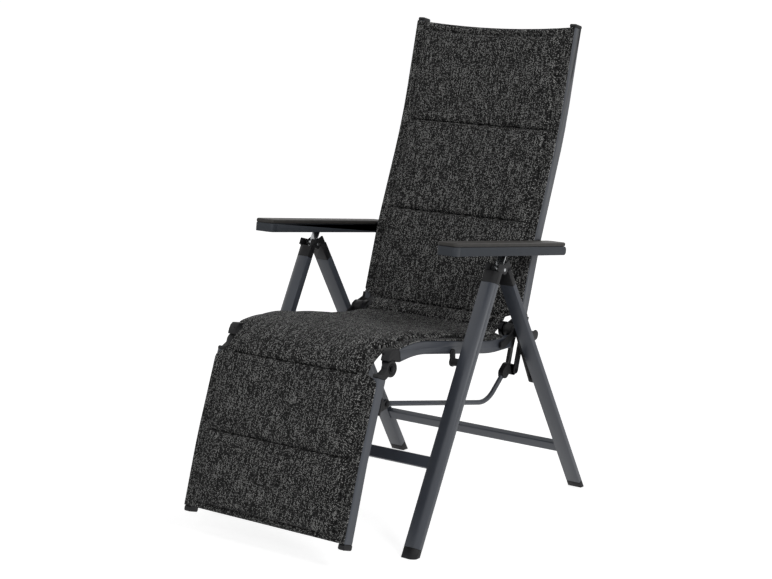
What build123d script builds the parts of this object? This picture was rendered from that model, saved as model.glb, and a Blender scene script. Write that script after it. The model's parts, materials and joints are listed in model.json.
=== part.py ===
from build123d import *
from math import atan2, cos, degrees, radians, sin
import os

# Reclining garden armchair with a leg rest, in millimetres.
# X runs across the chair, Y towards its back and Z up. The chair stands on Z = 0.
# Side-view places are (Y, Z) pairs. The right side is modelled and mirrored to the left.

# Lanes across the chair, measured from its middle plane
leg_width = 39
frame_outer_x = 241.5
leg_lane = 22.5
leg_inner_x = frame_outer_x + leg_lane
frame_width = 18
cheek_thickness = 5
lane_gap = 0.3
plate_thickness = 3
link_thickness = 6
hub_overlap = 0.4
cheek_x = frame_outer_x + hub_overlap + lane_gap
inner_cheek_x = frame_outer_x - frame_width - hub_overlap - lane_gap
disc_x = inner_cheek_x - cheek_thickness - lane_gap
plate_x = cheek_x + cheek_thickness + lane_gap
link_x = plate_x + plate_thickness + lane_gap

# Running clearances
pin_clearance = 0.05
soft_clearance = 0.6
tool_overrun = 30

# Crossed legs: one hinge carries the front and the rear pair
hinge_y = -66
hinge_z = 617
front_lean = 27.6
rear_lean = 29.25
front_standoff = 17.7
rear_standoff = 19.2
leg_depth = 20.5
leg_edge_depth = 12
leg_ridge_share = 0.56
leg_wall = 1.5
leg_radius = 1.5
foot_height = 20
front_tube_top = 41
rear_tube_top = 57
spigot_length = 25
spigot_clearance = 0.3

# Hinge caps, pins and ratchet tongues at the top of the legs
knuckle_radius = 11
knuckle_room = 1
cap_cheek = 4
hinge_pin_radius = 4
pin_head_radius = 7
pin_head_height = 2
tongue_width = 22
tongue_thickness = 3
tongue_reach = 44.5
tongue_eye_radius = 8

# Crossbars
bar_height = 28
bar_thickness = 16
bar_radius = 3
bar_wall = 1.5
front_bar_drop = 484
rear_bar_drop = 584

# Seat, hung on the front legs
seat_pivot_drop = 240.6
seat_rear_reach = 259
seat_rear_rise = 29
seat_front_reach = 228
seat_front_rise = 25
frame_depth = 31
frame_radius = 4.5
frame_wall = 1.5
seat_hump_share = 0.42
seat_hump_rise = 57
seat_bend_share = 0.365
seat_bend_rise = 4
seat_rear_drop = 25.5
seat_hump_radius = 300
seat_bend_radius = 400
seat_nose = 30
seat_tail = 10
seat_front_cross_share = 0.08
seat_rear_cross_share = 0.88
cross_tube_radius = 9
cross_tube_wall = 1.5
bracket_radius = 11.5
bracket_stem = 17
bracket_rise = 22
bracket_plate = 5.5
pivot_bolt_radius = 4
bolt_head_radius = 7.5
bolt_head_height = 2.5
spacer_radius = 9
hub_radius = 16
hub_pin_radius = 5
bush_wall = 1.5
hub_bush_wall = 8
hinge_disc_radius = 19
hinge_disc_thickness = 10
stop_reach = 82
stop_drop = 25
stop_radius = 13
stop_plate_height = 18

# Folding links between the seat hinge and the rear legs
link_drop = 361.4
link_width = 20
link_bolt_radius = 4

# Back
back_start_reach = 38
back_start_rise = 14
back_lower_length = 200
back_lower_lean = 17.8
back_middle_length = 280
back_middle_lean = 22
back_upper_length = 259
back_upper_lean = 14.6
back_lower_radius = 1200
back_upper_radius = 1500
back_cross_share = 0.075
cap_length = 14
back_cap_length = 9.5
socket_length = 16

# Cranks under the back, and the rods that lift the leg rest
crank_reach = 4
crank_drop = 99
crank_width = 18
crank_web = 15
crank_pin_radius = 4
crank_bush_wall = 7
rod_radius = 6
rod_fork_length = 16
rod_fork_width = 26
rod_fork_thickness = 16
rod_end_reach = 22
rod_end_rise = 8
rod_bend_reach = 104
rod_bend_drop = 62
rod_bend_radius = 75
rod_eye_thickness = 7
rod_eye_radius = 10

# Leg rest
rest_start_reach = 36
rest_start_drop = 17
rest_upper_length = 208
rest_upper_lean = 20.5
rest_lower_length = 165
rest_lower_lean = 17.2
rest_radius = 1500
rest_knuckle_radius = 19
rest_knuckle_edge_shares = ((-0.7, 1), (-0.5, 1.5), (-0.2, 2), (0.2, 2.25))
rest_cap_length = 10
rest_bush_wall = 8
lug_reach = 16
lug_drop = 77
lug_thickness = 6
lug_radius = 10
lug_length = 40
lug_cheek = 3.5
rest_cross_share = 0.93

# Armrests
arm_pivot_distance = 188
arm_tilt = 7.66
arm_front = 430
arm_rear = 42
arm_lane = 5.5
arm_inner_x = frame_outer_x + arm_lane
arm_width = 54
arm_body_height = 21
arm_body_rise = 6.5
arm_plate_height = 10
arm_wall = 3
arm_cap_length = 22
arm_joint = 0.2
arm_pin_radius = 4
arm_boss_radius = 11
arm_flange_radius = 18
rack_start = 190
rack_pitch = 17
rack_teeth = 9
rack_depth = 4
rack_web = 2.5
rack_width = 26
rack_tooth_shares = (0.15, 0.35, 0.45)
arm_heel_share = 0.4
arm_plate_round = 4

# Padded sling
pad_border = 3
pad_crown = 13
pad_inset = 1.5
pad_half_width = frame_outer_x - pad_inset
pad_flat_width = 27
pad_side_width = 40
pad_side_share = 0.7
pad_cross_share = 0.93
pad_floor_steps = 4
back_seam_shares = (0.33, 0.65)
seat_seam_shares = (0.35, 0.66)
rest_seam_shares = (0.5,)
back_pad_start = 26
back_pad_end = 14
seat_pad_start = 18
seat_pad_end = 30
rest_pad_start = 8
rest_pad_end = 22


def along(lean_degrees):
    """Direction (Y, Z) that leans back from the vertical by an angle."""
    return Vector(sin(radians(lean_degrees)), cos(radians(lean_degrees)))


def across(lean_degrees):
    """Direction (Y, Z) square to a lean, towards the back of the chair."""
    return Vector(cos(radians(lean_degrees)), -sin(radians(lean_degrees)))


def side_plate(face, x_inner, x_outer):
    """Thicken a side-view face from one X to another."""
    return extrude(Plane.YZ.offset(x_inner) * face, amount=x_outer - x_inner)


def disc(centre, radius):
    """Side-view disc."""
    return Pos(centre.X, centre.Y) * Circle(radius)


def rod_x(centre, radius, x_inner, x_outer):
    """Round bar that runs across the chair."""
    return side_plate(disc(centre, radius), x_inner, x_outer)


def strap(start, end, width):
    """Side-view bar with round ends, from one pivot to another."""
    middle = (start + end) / 2
    angle = degrees(atan2(end.Y - start.Y, end.X - start.X))
    return Pos(middle.X, middle.Y) * Rot(0, 0, angle) * SlotCenterToCenter((end - start).length, width)


def headed_pin(centre, radius, x_inner, x_outer, head_inner, head_outer):
    """Pin across the chair with a low head at one end or both."""
    pin = rod_x(centre, radius, x_inner, x_outer)
    if head_inner:
        pin += rod_x(centre, head_inner, x_inner - pin_head_height, x_inner)
    if head_outer:
        pin += rod_x(centre, head_outer, x_outer, x_outer + pin_head_height)
    return pin


def both_sides(right):
    """The right-hand piece and its mirror image."""
    return [right, mirror(right, about=Plane.YZ)]


# Points of the side view
hinge = Vector(hinge_y, hinge_z)
front_up = along(front_lean)
front_line = hinge - across(front_lean) * front_standoff
rear_up = along(-rear_lean)
rear_line = hinge + across(-rear_lean) * rear_standoff
seat_pivot = front_line - front_up * seat_pivot_drop
back_hinge = seat_pivot + Vector(seat_rear_reach, seat_rear_rise)
rest_hinge = seat_pivot + Vector(-seat_front_reach, seat_front_rise)
link_pivot = rear_line - rear_up * link_drop
crank_pivot = back_hinge + Vector(crank_reach, -crank_drop)
rod_pivot = rest_hinge + Vector(-lug_reach, -lug_drop)
back_start = back_hinge + Vector(back_start_reach, back_start_rise)
back_bend_low = back_start + along(back_lower_lean) * back_lower_length
back_bend_high = back_bend_low + along(back_middle_lean) * back_middle_length
back_top = back_bend_high + along(back_upper_lean) * back_upper_length
arm_pivot = back_start + along(back_lower_lean) * arm_pivot_distance
rest_start = rest_hinge + Vector(-rest_start_reach, -rest_start_drop)
rest_bend = rest_start - along(rest_upper_lean) * rest_upper_length
rest_end = rest_bend - along(rest_lower_lean) * rest_lower_length
seat_front_end = rest_hinge + Vector(seat_nose, seat_front_rise)
seat_hump = seat_pivot + Vector(-seat_front_reach * (1 - seat_hump_share), seat_hump_rise)
seat_bend = seat_pivot + Vector(seat_rear_reach * (1 - seat_bend_share), seat_bend_rise)
seat_rear_end = back_hinge + Vector(-seat_tail, -seat_rear_drop)


# Legs

def leg_plane(base, up):
    """Plane square to a leg: X across the chair, Z up the leg."""
    return Plane(origin=(leg_inner_x, base.X, base.Y), x_dir=(1, 0, 0), z_dir=(0, up.X, up.Y))


def leg_section(outward):
    """Leg section: flat inside, ridged outside and thin at the outboard edge."""
    half = leg_depth / 2
    ridge = (leg_width * leg_ridge_share, half)
    edge = (leg_width, leg_edge_depth - half)
    bulge = ((ridge[0] + edge[0]) / 2 + leg_radius, (ridge[1] + edge[1]) / 2 + leg_radius)
    corner = (0, half - leg_radius)
    outline = Polyline((0, -half), (leg_width, -half), edge)
    outline += ThreePointArc(edge, bulge, ridge)
    outline += Polyline(ridge, corner, (0, -half))
    face = make_face(outline)
    return face if outward > 0 else mirror(face, about=Plane.XZ)


def leg_run(line, up, outward, bottom, top, shrink):
    """Part of a leg between two distances below the hinge."""
    face = leg_section(outward)
    if shrink:
        face = offset(face, amount=-shrink, kind=Kind.INTERSECTION)
    return extrude(leg_plane(line - up * bottom, up) * face, amount=bottom - top)


def floor_drop(line, up):
    """Distance down the leg from the hinge to the floor."""
    return line.Y / up.Y


def leg_tube(line, up, outward, top, holes):
    """Hollow leg tube from the foot cap to the hinge cap."""
    bottom = floor_drop(line, up) - foot_height / up.Y
    tube = leg_run(line, up, outward, bottom, top, 0)
    tube -= leg_run(line, up, outward, bottom + tool_overrun, top - tool_overrun, leg_wall)
    for centre, radius in holes:
        tube -= rod_x(centre, radius, leg_inner_x - tool_overrun, leg_inner_x + leg_width / 2)
    return tube


def foot_cap(line, up, outward):
    """Plastic foot: flat on the floor, with a spigot inside the tube."""
    floor = floor_drop(line, up)
    top = floor - foot_height / up.Y
    foot = leg_run(line, up, outward, floor + tool_overrun, top, 0)
    foot += leg_run(line, up, outward, top, top - spigot_length, leg_wall + spigot_clearance)
    room = leg_width * 2
    below = Pos(leg_inner_x, (line - up * floor).X, -room / 2) * Box(room * 2, room * 2, room)
    return foot - below


def hinge_cap(line, up, outward, top, cheek_inset):
    """Plastic cap on a tube, with two cheeks that reach to the hinge."""
    body_top = knuckle_radius + knuckle_room
    cap = leg_run(line, up, outward, top, body_top, 0)
    cap += leg_run(line, up, outward, top + spigot_length, top, leg_wall + spigot_clearance)
    side = across(degrees(atan2(up.X, up.Y)))
    inner = leg_depth / 2
    low = line - up * top
    toward = side if (hinge - line).dot(side) > 0 else -side
    root = low + up * (top - body_top)
    cheek = make_face(Polyline(
        to_pair(root + toward * inner), to_pair(root - toward * inner),
        to_pair(line + up * (knuckle_radius / 2) - toward * inner), to_pair(hinge + up * knuckle_radius),
        to_pair(hinge + toward * knuckle_radius), close=True))
    cheek += disc(hinge, knuckle_radius)
    x_low = leg_inner_x + cheek_inset
    x_high = leg_inner_x + leg_width - cheek_inset
    cap += side_plate(cheek, x_low, x_low + cap_cheek)
    cap += side_plate(cheek, x_high - cap_cheek, x_high)
    return cap - rod_x(hinge, hinge_pin_radius + pin_clearance, x_low - cap_cheek, x_high + cap_cheek)


def to_pair(point):
    """Side-view point as a plain pair."""
    return (point.X, point.Y)


def crossbar(line, up, drop):
    """Flat hollow bar between two legs."""
    centre = line - up * drop
    place = Pos(centre.X, centre.Y) * Rot(0, 0, -degrees(atan2(up.X, up.Y)))
    face = place * RectangleRounded(bar_thickness, bar_height, bar_radius)
    walls = 2 * bar_wall
    inside = place * RectangleRounded(bar_thickness - walls, bar_height - walls, bar_radius - bar_wall)
    return side_plate(face - inside, -leg_inner_x, leg_inner_x)


def ratchet_tongue():
    """Steel strip with an eye on the hinge pin, which the armrest's rack drops over."""
    middle = leg_inner_x + leg_width / 2
    x_low = middle - tongue_width / 2
    strip = Pos(hinge.X, hinge.Y) * Rot(0, 0, -front_lean) * Pos(0, tongue_reach / 2)
    face = strip * Rectangle(tongue_thickness, tongue_reach)
    x_high = x_low + tongue_width
    tongue = side_plate(face + disc(hinge, tongue_eye_radius), x_low, x_high)
    return tongue - rod_x(hinge, hinge_pin_radius + pin_clearance, x_low - cap_cheek, x_high + cap_cheek)


def seat_bolt():
    """Bolt that carries the seat on a front leg, with its head under the seat tube."""
    x_head = frame_outer_x - bolt_head_height
    bolt = rod_x(seat_pivot, pivot_bolt_radius, x_head, leg_inner_x + leg_width / 2 - leg_wall)
    return bolt + rod_x(seat_pivot, bolt_head_radius, x_head, frame_outer_x - pin_clearance)


def link_bolt():
    """Flush bolt that carries a folding link on a rear leg."""
    return rod_x(link_pivot, link_bolt_radius, link_x, leg_inner_x + leg_width / 2 - leg_wall)


# Side tubes of the seat, the back and the leg rest

def tube_path(points, radii):
    """Bent line in the side view through points, with a radius at each inner corner."""
    return FilletPolyline(*[to_pair(p) for p in points], radius=radii)


def bent_tube(path, holes=()):
    """Hollow rounded tube swept along a side-view path."""
    spine = Plane.YZ * path
    start = Plane(origin=spine @ 0, x_dir=(1, 0, 0), z_dir=spine % 0)
    walls = 2 * frame_wall
    outer = RectangleRounded(frame_width, frame_depth, frame_radius)
    inner = RectangleRounded(frame_width - walls, frame_depth - walls, frame_radius - frame_wall)
    tube = sweep(start * outer, path=spine) - sweep(start * inner, path=spine)
    tube = Pos(frame_outer_x - frame_width / 2, 0, 0) * tube
    for centre, radius in holes:
        tube -= rod_x(centre, radius, frame_outer_x - frame_width * 2, frame_outer_x + frame_width)
    return tube


seat_points = [seat_front_end, seat_hump, seat_bend, seat_rear_end]
back_points = [back_start, back_bend_low, back_bend_high, back_top]
seat_path = tube_path(seat_points, [seat_hump_radius, seat_bend_radius])
back_path = tube_path(back_points, [back_lower_radius, back_upper_radius])
rest_path = tube_path([rest_start, rest_bend, rest_end], [rest_radius])


def path_frame(path, share):
    """Point and forward direction on a path at a share of its length."""
    point = path @ share
    direction = path % share
    return Vector(point.X, point.Y), Vector(direction.X, direction.Y)


def end_block(path, share, length, x_inner, x_outer, depth):
    """Block as deep as asked, laid along a path's end direction."""
    point, direction = path_frame(path, share)
    sign = 1 if share else -1
    middle = point + direction * (sign * length / 2)
    place = Pos(middle.X, middle.Y) * Rot(0, 0, degrees(atan2(direction.Y, direction.X)))
    return side_plate(place * RectangleRounded(length, depth, frame_radius), x_inner, x_outer)


def end_spigot(path, share):
    """Plug inside the end of a side tube."""
    point, direction = path_frame(path, share)
    sign = -1 if share else 1
    middle = point + direction * (sign * spigot_length / 2)
    place = Pos(middle.X, middle.Y) * Rot(0, 0, degrees(atan2(direction.Y, direction.X)))
    slack = 2 * (frame_wall + spigot_clearance)
    x_low = frame_outer_x - frame_width + frame_wall + spigot_clearance
    face = place * RectangleRounded(spigot_length, frame_depth - slack * 2, frame_wall)
    return side_plate(face, x_low, x_low + frame_width - slack)


def cross_tube(path, share):
    """Round tube that joins the two side tubes."""
    point, direction = path_frame(path, share)
    reach = frame_outer_x - frame_width
    tube = rod_x(point, cross_tube_radius, -reach, reach)
    return tube - rod_x(point, cross_tube_radius - cross_tube_wall, -reach, reach)


def seat_bracket():
    """Plastic bracket on the outboard face of the seat tube, with a boss that reaches to the leg."""
    x_high = frame_outer_x + bracket_plate
    stem = strap(seat_pivot, seat_pivot + Vector(0, bracket_rise), bracket_stem)
    bracket = side_plate(stem + disc(seat_pivot, bracket_radius), frame_outer_x, x_high)
    bracket += rod_x(seat_pivot, spacer_radius, frame_outer_x, leg_inner_x - lane_gap)
    bore = pivot_bolt_radius + pin_clearance
    return bracket - rod_x(seat_pivot, bore, frame_outer_x - tool_overrun, leg_inner_x)


def tube_envelope(path):
    """The space that a side tube fills."""
    spine = Plane.YZ * path
    start = Plane(origin=spine @ 0, x_dir=(1, 0, 0), z_dir=spine % 0)
    body = sweep(start * Rectangle(frame_width + tool_overrun, frame_depth), path=spine)
    return Pos(frame_outer_x - frame_width / 2, 0, 0) * body


def seat_hub():
    """Plastic end of the seat tube that holds the back's hinge."""
    x_low = frame_outer_x - frame_width - hub_overlap
    x_high = frame_outer_x + hub_overlap
    point, direction = path_frame(seat_path, 1)
    square = Vector(-direction.Y, direction.X) * (frame_depth / 2)
    tail = make_face(Polyline(
        to_pair(point + square), to_pair(point - square),
        to_pair(point + Vector(seat_tail, -frame_depth / 2)),
        to_pair(back_hinge + Vector(hub_radius, 0)), to_pair(back_hinge - Vector(hub_radius, 0)), close=True))
    hub = side_plate(tail + disc(back_hinge, hub_radius), x_low, x_high)
    hub -= tube_envelope(seat_path)
    hub += end_spigot(seat_path, 1)
    return hub - rod_x(back_hinge, hub_pin_radius + hub_bush_wall + pin_clearance, x_low, x_high)


def bush(centre, radius, wall, x_low, x_high):
    """Steel bush or disc round a pin."""
    bore = radius + pin_clearance
    return rod_x(centre, bore + wall, x_low, x_high) - rod_x(centre, bore, x_low, x_high)


def stop_plate():
    """Flat plate bolted beside the seat tube, with a round stop behind the back tube."""
    root = seat_rear_end - Vector(frame_depth + hub_radius, 0)
    stop = back_hinge + Vector(stop_reach, -stop_drop)
    face = strap(root, back_hinge, stop_plate_height) + strap(back_hinge, stop, stop_plate_height)
    face += disc(stop, stop_radius) + disc(back_hinge, hub_radius)
    plate = side_plate(face, plate_x, plate_x + plate_thickness)
    plate += rod_x(root, stop_plate_height / 2, frame_outer_x, plate_x)
    bore = hub_pin_radius + pin_clearance
    return plate - rod_x(back_hinge, bore, plate_x - tool_overrun, plate_x + tool_overrun)


def folding_link():
    """Flat link beside a rear leg, between the leg and the seat's rear hinge."""
    link = side_plate(strap(link_pivot, back_hinge, link_width), link_x, link_x + link_thickness)
    link += rod_x(link_pivot, link_width / 2, link_x, leg_inner_x - lane_gap)
    x_face = link_x + link_thickness
    link += rod_x(back_hinge, pin_head_radius, x_face, x_face + pin_head_height)
    return link - rod_x(link_pivot, link_bolt_radius + pin_clearance, link_x, leg_inner_x)


def seat_front_knuckle():
    """Plastic front end of the seat tube, above the leg rest's knuckle."""
    x_low = frame_outer_x - frame_width
    point, direction = path_frame(seat_path, 0)
    room = rest_knuckle_radius + knuckle_room
    square = Vector(-direction.Y, direction.X) * (frame_depth / 2)
    edge = [to_pair(rest_hinge + Vector(y, z) * room) for y, z in rest_knuckle_edge_shares]
    block = make_face(Polyline(to_pair(point + square), to_pair(point - square), *edge, close=True))
    knuckle = side_plate(block - disc(rest_hinge, room), x_low, frame_outer_x)
    cheek = block + strap(rest_hinge, rest_hinge + Vector(0, room + knuckle_radius), rest_knuckle_radius)
    knuckle += side_plate(cheek, x_low - lane_gap - cheek_thickness, x_low)
    knuckle -= rod_x(rest_hinge, room, x_low - lane_gap, frame_outer_x)
    knuckle += end_spigot(seat_path, 0)
    return knuckle - rod_x(rest_hinge, hinge_pin_radius + pin_clearance, x_low - tool_overrun, x_low)


def rest_knuckle():
    """Plastic knuckle at the top of a leg rest tube."""
    x_low = frame_outer_x - frame_width
    knuckle = rod_x(rest_hinge, rest_knuckle_radius, x_low, frame_outer_x)
    knuckle += end_block(rest_path, 0, rest_cap_length, x_low, frame_outer_x, frame_depth)
    neck = strap(rest_hinge, rest_start, rest_knuckle_radius) - disc(rest_hinge, hinge_pin_radius)
    neck -= Pos(rest_start.X, rest_start.Y) * Rot(0, 0, -rest_upper_lean) * Pos(0, -frame_depth) * Rectangle(
        frame_depth * 2, frame_depth * 2)
    knuckle += side_plate(neck, x_low, frame_outer_x)
    knuckle += end_spigot(rest_path, 0)
    bore = hinge_pin_radius + rest_bush_wall + 2 * pin_clearance
    return knuckle - rod_x(rest_hinge, bore, x_low, frame_outer_x)


def rest_pin():
    """Pin of the leg rest's hinge, with its head outboard."""
    x_low = frame_outer_x - frame_width - lane_gap - cheek_thickness
    x_high = frame_outer_x + lane_gap
    return headed_pin(rest_hinge, hinge_pin_radius, x_low, x_high, pin_head_radius, pin_head_radius)


def tube_cap(path, share, length):
    """Plastic cap on the open end of a side tube."""
    x_low = frame_outer_x - frame_width
    return end_block(path, share, length, x_low, frame_outer_x, frame_depth) + end_spigot(path, share)


def rod_lug():
    """Clevis on the rear of a leg rest tube, where the rod's eye comes in."""
    tube_face = rest_start - along(rest_upper_lean) * (lug_drop - rest_start_drop)
    root = tube_face + across(rest_upper_lean) * (frame_depth / 2 + lug_thickness / 2)
    middle = frame_outer_x - frame_width / 2
    ear = strap(root + across(rest_upper_lean) * lug_radius / 2, rod_pivot, lug_radius * 2)
    cut = Pos(tube_face.X, tube_face.Y) * Rot(0, 0, -rest_upper_lean) * Pos(-frame_depth / 2, 0) * Rectangle(
        frame_depth * 2, frame_depth * 4)
    ear -= cut
    base = Pos(root.X, root.Y) * Rot(0, 0, -rest_upper_lean) * Rectangle(lug_thickness, lug_length)
    lug = side_plate(base, middle - frame_width / 2, middle + frame_width / 2)
    inner = rod_eye_thickness / 2 + lane_gap
    for sign in (-1, 1):
        x_near = middle + sign * inner
        x_far = middle + sign * (inner + lug_cheek)
        lug += side_plate(ear, min(x_near, x_far), max(x_near, x_far))
    return lug


def lug_bolt():
    """Bolt heads on the outer faces of the clevis."""
    middle = frame_outer_x - frame_width / 2
    near = rod_eye_thickness / 2 + lane_gap + lug_cheek
    far = near + pin_head_height
    outer = rod_x(rod_pivot, pin_head_radius, middle + near, middle + far)
    return [outer, rod_x(rod_pivot, pin_head_radius, middle - far, middle - near)]


def crank_arm():
    """Black arm below the back tube: a socket, two cheeks and the crank eyes."""
    lean = along(back_lower_lean)
    x_low = frame_outer_x - frame_width
    inner_cheek = (inner_cheek_x - cheek_thickness, inner_cheek_x)
    outer_cheek = (cheek_x, cheek_x + cheek_thickness)
    face = strap(crank_pivot, back_start + lean * crank_web, crank_width) + disc(back_hinge, crank_web)
    face += make_face(Polyline(
        to_pair(back_hinge + Vector(0, crank_web)), to_pair(back_start + lean * crank_web),
        to_pair(back_start - lean * crank_web * 2), to_pair(back_hinge - Vector(0, crank_web)), close=True))
    place = Pos(back_start.X, back_start.Y) * Rot(0, 0, -back_lower_lean)
    face += place * Pos(0, socket_length / 2) * Rectangle(frame_depth, socket_length)
    arm = side_plate(face, *inner_cheek) + side_plate(face, *outer_cheek)
    bridge = place * Pos(0, -crank_width / 4) * Rectangle(frame_depth, crank_width / 2)
    arm += side_plate(bridge, inner_cheek[0], outer_cheek[1])
    arm += end_spigot(back_path, 0)
    arm -= rod_x(back_hinge, hub_pin_radius, x_low - tool_overrun, frame_outer_x + tool_overrun)
    return arm - rod_x(crank_pivot, crank_pin_radius, x_low - tool_overrun, frame_outer_x + tool_overrun)


def recline_pin():
    """Pin of the back's hinge, through the disc, both cheeks, the hub and the stop plate."""
    x_low = disc_x - hinge_disc_thickness - lane_gap
    return headed_pin(back_hinge, hub_pin_radius, x_low, plate_x + plate_thickness, pin_head_radius, 0)


def crank_pin():
    """Pin at the foot of a crank arm."""
    x_low = inner_cheek_x - cheek_thickness
    return headed_pin(crank_pivot, crank_pin_radius, x_low, cheek_x + cheek_thickness, pin_head_radius, 0)


def rod_middle():
    """Plane of a lifting rod."""
    return frame_outer_x - frame_width / 2


def lift_rod():
    """Round bent rod with a flat eye at the leg rest and a moulded eye at the crank."""
    end = crank_pivot + Vector(-rod_end_reach, rod_end_rise)
    bend = crank_pivot + Vector(-rod_bend_reach, -rod_bend_drop)
    path = tube_path([rod_pivot, bend, end], [rod_bend_radius])
    spine = Plane.YZ * path
    start = Plane(origin=spine @ 0, x_dir=(1, 0, 0), z_dir=spine % 0)
    rod = Pos(rod_middle(), 0, 0) * sweep(start * Circle(rod_radius), path=spine)
    half = rod_eye_thickness / 2
    trim = disc(rod_pivot, rod_eye_radius + rod_radius)
    rod -= side_plate(trim, rod_middle() + half, rod_middle() + frame_width)
    rod -= side_plate(trim, rod_middle() - frame_width, rod_middle() - half)
    rod += rod_x(rod_pivot, rod_eye_radius, rod_middle() - half, rod_middle() + half)
    return rod


def rod_fork():
    """Plastic end of a lifting rod, round the crank pin."""
    end = crank_pivot + Vector(-rod_end_reach, rod_end_rise)
    bend = crank_pivot + Vector(-rod_bend_reach, -rod_bend_drop)
    toward = (bend - end).normalized()
    half = rod_fork_thickness / 2
    face = strap(crank_pivot, end, rod_fork_width)
    face += strap(end, end + toward * rod_fork_length, rod_fork_width)
    bore = crank_pin_radius + crank_bush_wall + 2 * pin_clearance
    fork = side_plate(face, rod_middle() - half, rod_middle() + half)
    fork -= rod_x(crank_pivot, bore, rod_middle() - half, rod_middle() + half)
    path = tube_path([rod_pivot, bend, end], [rod_bend_radius])
    spine = Plane.YZ * path
    start = Plane(origin=spine @ 0, x_dir=(1, 0, 0), z_dir=spine % 0)
    return fork - Pos(rod_middle(), 0, 0) * sweep(start * Circle(rod_radius), path=spine)


# Armrests, in their own frame: x along the armrest towards the rear, y up, from the pivot

def arm_place():
    """Place of the armrest's own frame in the side view."""
    return Pos(arm_pivot.X, arm_pivot.Y) * Rot(0, 0, -arm_tilt)


def arm_box(x_start, x_end, low, high, x_inner, x_outer):
    """Box in the armrest's frame."""
    face = Pos((x_start + x_end) / 2, (low + high) / 2) * Rectangle(x_end - x_start, high - low)
    return side_plate(arm_place() * face, x_inner, x_outer)


def arm_body():
    """Moulded armrest body, open underneath, solid round its pivot."""
    low = arm_body_rise - arm_body_height
    front = -arm_front + arm_cap_length
    x_outer = arm_inner_x + arm_width
    body = arm_box(front, arm_rear, low, arm_body_rise, arm_inner_x, x_outer)
    rear_edges = body.edges().filter_by(Axis.X).sort_by(Axis.Y)[-2:]
    body = fillet(rear_edges, arm_body_height * arm_heel_share)
    body -= arm_box(front + arm_wall, -arm_boss_radius * 3, low - tool_overrun, arm_body_rise - arm_wall,
                    arm_inner_x + arm_wall, x_outer - arm_wall)
    bore = arm_pin_radius + bush_wall + 2 * pin_clearance
    return body - rod_x(arm_pivot, bore, arm_inner_x, arm_inner_x + arm_width / 2)


def arm_plate():
    """Top plate of the armrest with rounded corners and edges."""
    plate = arm_box(-arm_front, arm_rear, arm_body_rise, arm_body_rise + arm_plate_height,
                    arm_inner_x, arm_inner_x + arm_width)
    upright = plate.edges().filter_by(lambda e: abs(e.tangent_at(0.5).Z) > 0.9)
    plate = fillet(upright, arm_plate_height)
    top = plate.faces().sort_by(Axis.Z)[-1]
    return fillet(top.edges(), arm_plate_round)


def arm_front_cap():
    """Moulded cap that closes the front of the body."""
    low = arm_body_rise - arm_body_height
    cap = arm_box(-arm_front, -arm_front + arm_cap_length - arm_joint, low, arm_body_rise,
                  arm_inner_x, arm_inner_x + arm_width)
    front_edges = cap.edges().filter_by(lambda e: abs(e.tangent_at(0.5).Z) > 0.9).sort_by(Axis.Y)[:2]
    return fillet(front_edges, arm_plate_height)


def arm_rack():
    """Toothed rack under the armrest's roof."""
    roof = arm_body_rise - arm_wall
    root = roof - rack_web
    points = [(-rack_start, roof), (-rack_start, root)]
    for tooth in range(rack_teeth):
        x = -rack_start - tooth * rack_pitch
        rise, crest, foot = [x - rack_pitch * share for share in rack_tooth_shares]
        points += [(rise, root - rack_depth), (crest, root - rack_depth), (foot, root), (x - rack_pitch, root)]
    points.append((-rack_start - rack_teeth * rack_pitch, roof))
    middle = arm_inner_x + arm_width / 2
    face = arm_place() * make_face(Polyline(*points, close=True))
    return side_plate(face, middle - rack_width / 2, middle + rack_width / 2)


def arm_pin():
    """Pin that carries an armrest on the back tube."""
    x_low = frame_outer_x - frame_width
    x_high = arm_inner_x + arm_width / 2
    return headed_pin(arm_pivot, arm_pin_radius, x_low - lane_gap, x_high, pin_head_radius, 0)


# Padded sling

def pad(path, start, end, seams, sign):
    """Quilted pad over a pair of side tubes: crowned channels between flat borders."""
    length = path.length
    stops = [start] + seams + [length - end]
    rows = []
    floors = []
    for first, last in zip(stops, stops[1:]):
        rows.append([path_frame(path, s / length) for s in (first, (first + last) / 2, last)])
        steps = [first + (last - first) * n / pad_floor_steps for n in range(pad_floor_steps + 1)]
        floors.append([path_frame(path, s / length) for s in steps])

    def lifted(place, height):
        point, direction = place
        return point + Vector(-direction.Y, direction.X) * (sign * height)

    def section(x, share, border):
        base = frame_depth / 2 + soft_clearance
        seam = base + pad_border
        lines = []
        for (low, middle, high), floor in zip(rows, floors):
            crown = seam + (pad_crown - pad_border) * share
            under = [to_pair(lifted(place, base)) for place in floor]
            lines += [Line(*pair) for pair in zip(under, under[1:])]
            top = (lifted(low, seam), lifted(middle, crown + border), lifted(high, seam))
            lines.append(ThreePointArc(*[to_pair(p) for p in top]))
        lines.append(Line(to_pair(lifted(rows[0][0], base)), to_pair(lifted(rows[0][0], seam))))
        lines.append(Line(to_pair(lifted(rows[-1][2], base)), to_pair(lifted(rows[-1][2], seam))))
        return Plane.YZ.offset(x) * make_face(Curve() + lines)

    flat = pad_half_width - pad_flat_width
    steps = [(flat, pad_border / pad_crown / 2), (flat - pad_side_width, pad_side_share),
             (flat / 2, pad_cross_share), (0, 1)]
    sections = [section(-pad_half_width, pad_border / pad_crown / 2, 0)]
    sections += [section(-x, share, 0) for x, share in steps]
    sections += [section(x, share, 0) for x, share in reversed(steps[:-1])]
    sections.append(section(pad_half_width, pad_border / pad_crown / 2, 0))
    return loft(sections, ruled=True)


def shares(path, values):
    """Distances along a path at shares of its length."""
    return [path.length * value for value in values]


# Build and write the pieces
nodes = {}


def add(name, solids):
    """Keep a node: one solid or a group of like solids."""
    pieces = solids if isinstance(solids, (list, tuple)) else [solids]
    nodes[name] = [solid for piece in pieces for solid in piece.solids()]


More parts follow.
